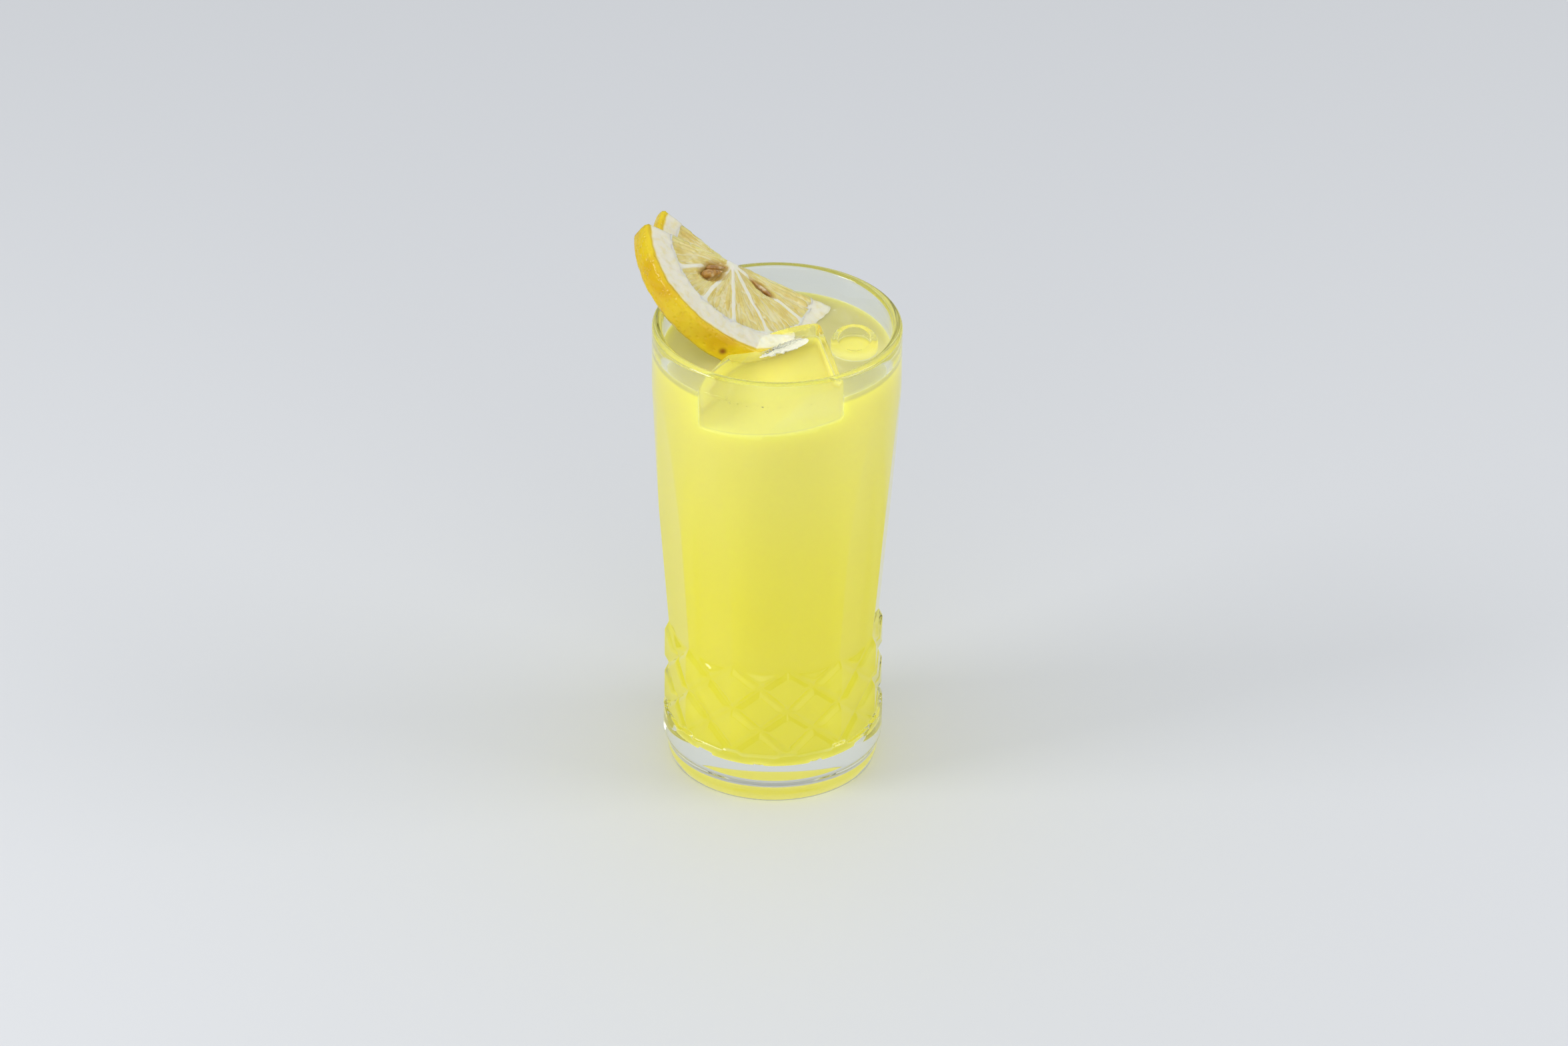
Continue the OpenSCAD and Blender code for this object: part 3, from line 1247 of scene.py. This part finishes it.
@dataclass
class Lemonade:
    """The drink: it fills the glass to its level, around all that dips into it."""

    glass: Tumbler
    overlap: float = 0.15
    creep: float = 0.9
    creep_reach: float = 1.5

    def outline(self) -> Outline:
        """Returns the drink's outline from its lowest middle up the wall and back to the axis."""
        glass, add = self.glass, self.overlap
        turn = glass.base_t + glass.floor_round
        corner = glass.bore_r(turn) - glass.floor_round
        points = [(corner * share, glass.base_t - add) for share in (0.0, 0.35, 0.7)]
        points += arc(corner, turn, glass.floor_round + add, -90, 0, 10)
        top = glass.level + self.creep
        points += [(glass.bore_r(z) + add, z) for z in steps_between(turn, top, 60)]
        wall = glass.bore_r(glass.level)
        for inward in (0.2, 0.5, 0.9, 1.4, 2.0, 2.8, 3.8, 5.2, 7.5, 11.0, 16.0, 22.0, 28.0):
            points.append((wall - inward, glass.level + self.creep * math.exp(-inward / self.creep_reach)))
        points.append((0.0, glass.level))
        return points

    def build(self, finish: CloudyDrink, tools: Sequence[Mesh]) -> None:
        """Makes the drink.

        Args:
            finish: the cloudy finish.
            tools: meshes of all that takes room in the drink.
        """
        body = tidy(spun(self.outline(), 144, 0, 360))
        piece = finished(body, "cloudy_drink", [finish.make()])
        carve(piece, [finished(tool, f"room_{i}", []) for i, tool in enumerate(tools)])
        piece.data.shade_smooth()
        deliver(piece, Slot.DRINK, "lemonade")


@dataclass
class Bubbles:
    """Small bubbles on the drink's surface and against the wall."""

    glass: Tumbler
    count: int = 26
    seed: int = 11

    def build(self, finish: ClearFinish) -> None:
        """Makes the bubbles.

        Args:
            finish: the clear finish.
        """
        pick = random.Random(self.seed)
        mesh = bmesh.new()
        for _ in range(self.count):
            a = math.radians(pick.uniform(-118, -72))
            r = self.glass.bore_r(self.glass.level) - pick.uniform(0.4, 2.2)
            size = pick.uniform(0.12, 0.32)
            made = bmesh.ops.create_icosphere(mesh, subdivisions=2, radius=size)["verts"]
            spot = (r * math.cos(a), r * math.sin(a), self.glass.level + 0.2 * size)
            bmesh.ops.translate(mesh, vec=spot, verts=made)
        deliver(finished(mesh, "bubbles", [finish.make()]), Slot.DRINK)


# ---------------------------------------------------------------- studio


@dataclass(frozen=True)
class Lamp:
    """A soft rectangular light that looks at the glass."""

    name: str
    place: tuple[float, float, float]
    size: tuple[float, float]
    power: float

    def build(self) -> None:
        """Hangs the light."""
        light = bpy.data.lights.new(self.name, "AREA")
        light.shape = "RECTANGLE"
        light.size, light.size_y = self.size
        light.energy = self.power
        lamp = bpy.data.objects.new(self.name, light)
        bpy.context.scene.collection.objects.link(lamp)
        lamp.location = self.place
        aim = Vector((0, 0, 0.08)) - Vector(self.place)
        lamp.rotation_euler = aim.to_track_quat("-Z", "Y").to_euler()


@dataclass
class Studio:
    """Floor, sky, lights and camera."""

    lens: float = 176.5
    distance: float = 2.3
    elevation: float = 31.35
    aim_height: float = 0.07924
    yaw: float = 0.067
    roll: float = 0.675
    air: float = 0.25
    sky: float = 0.66
    sky_tone: tuple[float, float, float, float] = (0.93, 0.96, 1.0, 1.0)
    lamps: tuple[Lamp, ...] = (
        Lamp("key", (-0.79, -0.24, 0.62), (0.34, 0.30), 2.4),
        Lamp("fill", (0.90, -0.10, 0.70), (0.50, 0.50), 2.2),
        Lamp("front", (0.10, -1.90, 0.85), (2.20, 1.40), 8.5),
    )

    def floor(self, finish: FloorFinish) -> None:
        """Lays the floor.

        Args:
            finish: the floor's finish.
        """
        mesh = bmesh.new()
        bmesh.ops.create_grid(mesh, x_segments=1, y_segments=1, size=6000)
        bmesh.ops.translate(mesh, vec=(0, 0, -self.air), verts=mesh.verts)
        ground = finished(mesh, "floor", [finish.make()])

    def heaven(self) -> None:
        """Sets the soft light from all round: bright above, dimmer near the floor."""
        world = bpy.data.worlds.new("soft_sky")
        bpy.context.scene.world = world
        bench = Bench(world)
        away = bench.add("TexCoord").outputs["Generated"]
        height = bench.add("SeparateXYZ", {0: away}).outputs[2]
        spread = bench.add("MapRange", {0: height, 1: 0.02, 2: 0.55, 3: 0.10, 4: 1.10}).outputs[0]
        strength = bench.math("MULTIPLY", spread, self.sky)
        glow = bench.add("Background", {0: self.sky_tone, 1: strength})
        bench.add("OutputWorld", {0: glow.outputs[0]})

    def camera(self) -> None:
        """Sets the camera up in front of the glass, looking down at it."""
        e, y, r = (math.radians(v) for v in (self.elevation, self.yaw, self.roll))
        forward = Vector((0, math.cos(e), -math.sin(e)))
        right = Vector((1, 0, 0))
        up = right.cross(forward)
        ahead = forward * math.cos(y) + right * math.sin(y)
        side = right * math.cos(y) - forward * math.sin(y)
        across = side * math.cos(r) + up * math.sin(r)
        above = up * math.cos(r) - side * math.sin(r)
        data = bpy.data.cameras.new("camera")
        data.lens = self.lens
        data.sensor_width = 36.0
        data.clip_end = 50.0
        eye = bpy.data.objects.new("camera", data)
        bpy.context.scene.collection.objects.link(eye)
        turn = Matrix((across, above, -ahead)).transposed().to_4x4()
        stand = Vector((0, 0, self.aim_height)) - forward * self.distance
        eye.matrix_world = Matrix.Translation(stand) @ turn
        bpy.context.scene.camera = eye

    def build(self) -> None:
        """Sets everything up."""
        self.floor(FloorFinish())
        self.heaven()
        for lamp in self.lamps:
            lamp.build()
        self.camera()
        bpy.context.scene.view_settings.view_transform = "Standard"


# ---------------------------------------------------------------- the whole


def slices(glass: Tumbler) -> tuple[LemonSlice, LemonSlice]:
    """Places the two slices.

    Args:
        glass: the glass that they lean in.

    Returns:
        The front and the back slice.
    """
    reach = glass.bore_r(glass.level) - 2.8
    side = math.radians(55.7)
    tip = (reach * math.cos(side), reach * math.sin(side), glass.level - 0.8)
    front = LemonSlice(
        name="front_slice",
        node="lemon_slice_front",
        radius=33.0,
        pulp_r=24.6,
        thick=7.8,
        wedge=2.0,
        tip_at=tip,
        tip_reach=33.0,
        heart=(-3.0, -0.6),
        turn=(17.8, 30.4, 8.5),
        membranes=(210.5, 245.0, 272.5, 301.0, 336.5),
        seeds=(
            Seed(-8.2, -4.4, 8.0, 2.6, 31.0, 0.8),
            Seed(-9.4, -7.2, 8.8, 3.6, 37.0, 0.9),
            Seed(7.2, -4.8, 7.6, 1.8, 158.0, 0.5),
        ),
        marks=((-2.8, -33.0, 2.2),),
        seed=3,
    )
    middle = front.placing.translation
    back = LemonSlice(
        name="back_slice",
        node="lemon_slice_back",
        radius=26.4,
        pulp_r=20.4,
        thick=4.6,
        wedge=0.0,
        tip_at=(middle.x - 2.7, middle.y + 10.8, middle.z - 5.7),
        turn=(13.2, 37.6, -11.6),
        membranes=(214.0, 246.0, 281.0, 318.0),
        seed=8,
        steps=180,
        rings=70,
    )
    return front, back


def main() -> None:
    """Builds the glass of lemonade and its studio."""
    logging.basicConfig(level=logging.INFO, format="%(name)s %(message)s")
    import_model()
    glass = Tumbler()
    glass.build(ClearFinish("pressed_glass", tint="F8FBF3", ior=1.5))
    moon = MoonIce(glass)
    bullet = BulletIce()
    front, back = slices(glass)
    clear_ice = ClearFinish(
        "wet_ice", tint="FDFEFE", light="FBFDFA", ior=1.31, ripple=0.12, ripple_scale=120.0
    )
    moon.build(clear_ice, front.plug(-0.35))
    slit = ClearFinish("air_in_ice", ior=0.763)
    frost = ClearFinish("milky_ice", tint="FBF8EC", ior=1.1, roughness=0.6, milk=0.75)
    moon.flaw("ice_air", slit, half=(0.85, 0.35), shift=0.0, drop=0.0)
    moon.flaw("ice_frost", frost, half=(1.9, 0.3), shift=0.9, drop=1.0)
    bullet.build(clear_ice)
    for lemon in (front, back):
        lemon.build(PeelFinish(), PulpFinish(), SeedFinish())
    rooms = [moon.shape(-0.12, 1.2), bullet.dimple(), front.plug(0.8), back.plug(0.8)]
    Lemonade(glass).build(CloudyDrink(), rooms)
    Bubbles(glass).build(ClearFinish("bubble", ior=1.2))
    Studio().build()


if __name__ == "__main__":
    main()
